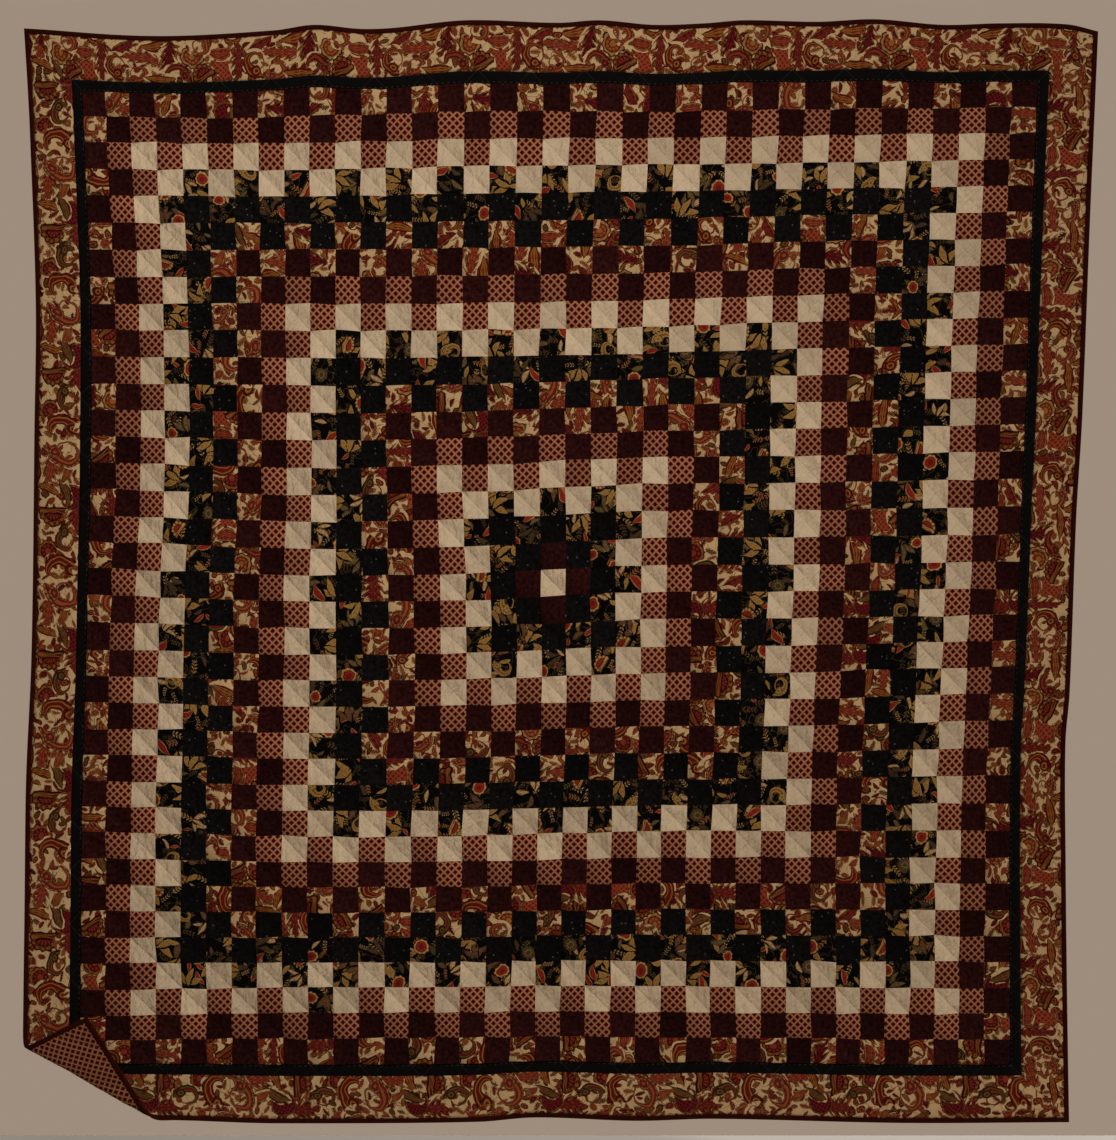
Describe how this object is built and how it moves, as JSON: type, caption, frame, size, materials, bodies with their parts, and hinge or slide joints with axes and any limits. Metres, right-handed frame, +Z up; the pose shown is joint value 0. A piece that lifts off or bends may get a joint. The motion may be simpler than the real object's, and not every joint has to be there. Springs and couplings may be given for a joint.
{
  "type": "hanging patchwork quilt",
  "caption": "Square patchwork quilt hanging by its top edge, with black and paisley borders, a maroon binding and one lower corner turned up to show its backing.",
  "frame": {"origin": "middle of the hanging edge, at the top of the binding, half way through the cloth", "axes": "+Z up along the hanging cloth, +X to the right as the front is seen, the front faces -Y"},
  "size_m": [2.1181, 0.053, 2.1743],
  "materials": {
    "patchwork": "quilted cotton squares in cream, maroon, black and small prints",
    "black": "matte near-black cotton with tiny pale flecks",
    "paisley": "matte cotton with a paisley print in cream, red, gold and brown",
    "maroon": "matte deep maroon cotton",
    "lattice": "matte cotton with a small tan lattice on maroon"
  },
  "bodies": {
    "root": {"pieced_centre": "patchwork", "inner_border_top": "black", "inner_border_bottom": "black", "inner_border_left": "black", "inner_border_right": "black", "outer_border_top": "paisley", "outer_border_bottom": "paisley", "outer_border_left": "paisley", "outer_border_right": "paisley", "binding_top": "maroon", "binding_bottom": "maroon", "binding_left": "maroon", "binding_right": "maroon", "backing": "lattice"}
  },
  "joints": []
}
